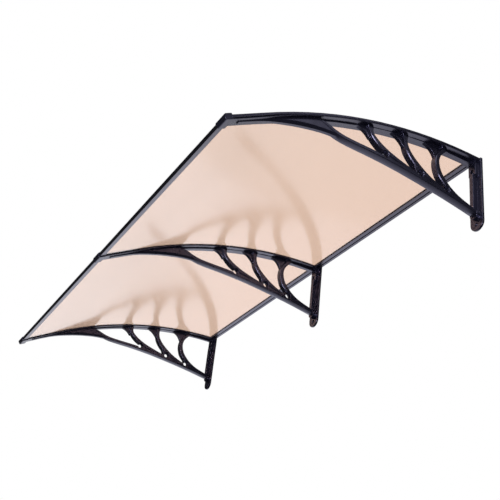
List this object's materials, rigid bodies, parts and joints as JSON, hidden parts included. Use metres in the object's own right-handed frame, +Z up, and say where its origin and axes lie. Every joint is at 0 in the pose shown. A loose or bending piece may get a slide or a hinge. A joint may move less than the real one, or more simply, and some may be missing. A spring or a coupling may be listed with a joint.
{
  "type": "polycarbonate door canopy",
  "caption": "Arched door canopy of bent translucent sheets on moulded wall brackets with curved struts, with front and rear edge bars.",
  "frame": {"origin": "middle of the back of the middle bracket's wall plate, on the wall", "axes": "+X along the wall, to the right of someone facing it; +Y into the wall; +Z up; the canopy reaches out to -Y"},
  "size_m": [2.024, 0.9726, 0.3223],
  "materials": {
    "black_plastic": "semi-gloss moulded",
    "bronze_polycarbonate": "clear bronze tint",
    "black_aluminium": "black satin coated",
    "screw_steel": "plain"
  },
  "bodies": {
    "root": {"bracket_left": "black_plastic", "bracket_middle": "black_plastic", "bracket_right": "black_plastic", "sheet_left": "bronze_polycarbonate", "sheet_right": "bronze_polycarbonate", "cover_strip_left": "black_plastic", "cover_strip_middle": "black_plastic", "cover_strip_right": "black_plastic", "front_bar_left": "black_aluminium", "front_bar_right": "black_aluminium", "front_clip_left": "black_plastic", "front_clip_middle": "black_plastic", "front_clip_right": "black_plastic", "rear_bar_left": "black_aluminium", "rear_bar_right": "black_aluminium", "cover_screw_left_1": "screw_steel", "cover_screw_left_2": "screw_steel", "cover_screw_left_3": "screw_steel", "cover_screw_left_4": "screw_steel", "cover_screw_middle_1": "screw_steel", "cover_screw_middle_2": "screw_steel", "cover_screw_middle_3": "screw_steel", "cover_screw_middle_4": "screw_steel", "cover_screw_right_1": "screw_steel", "cover_screw_right_2": "screw_steel", "cover_screw_right_3": "screw_steel", "cover_screw_right_4": "screw_steel"}
  },
  "joints": []
}
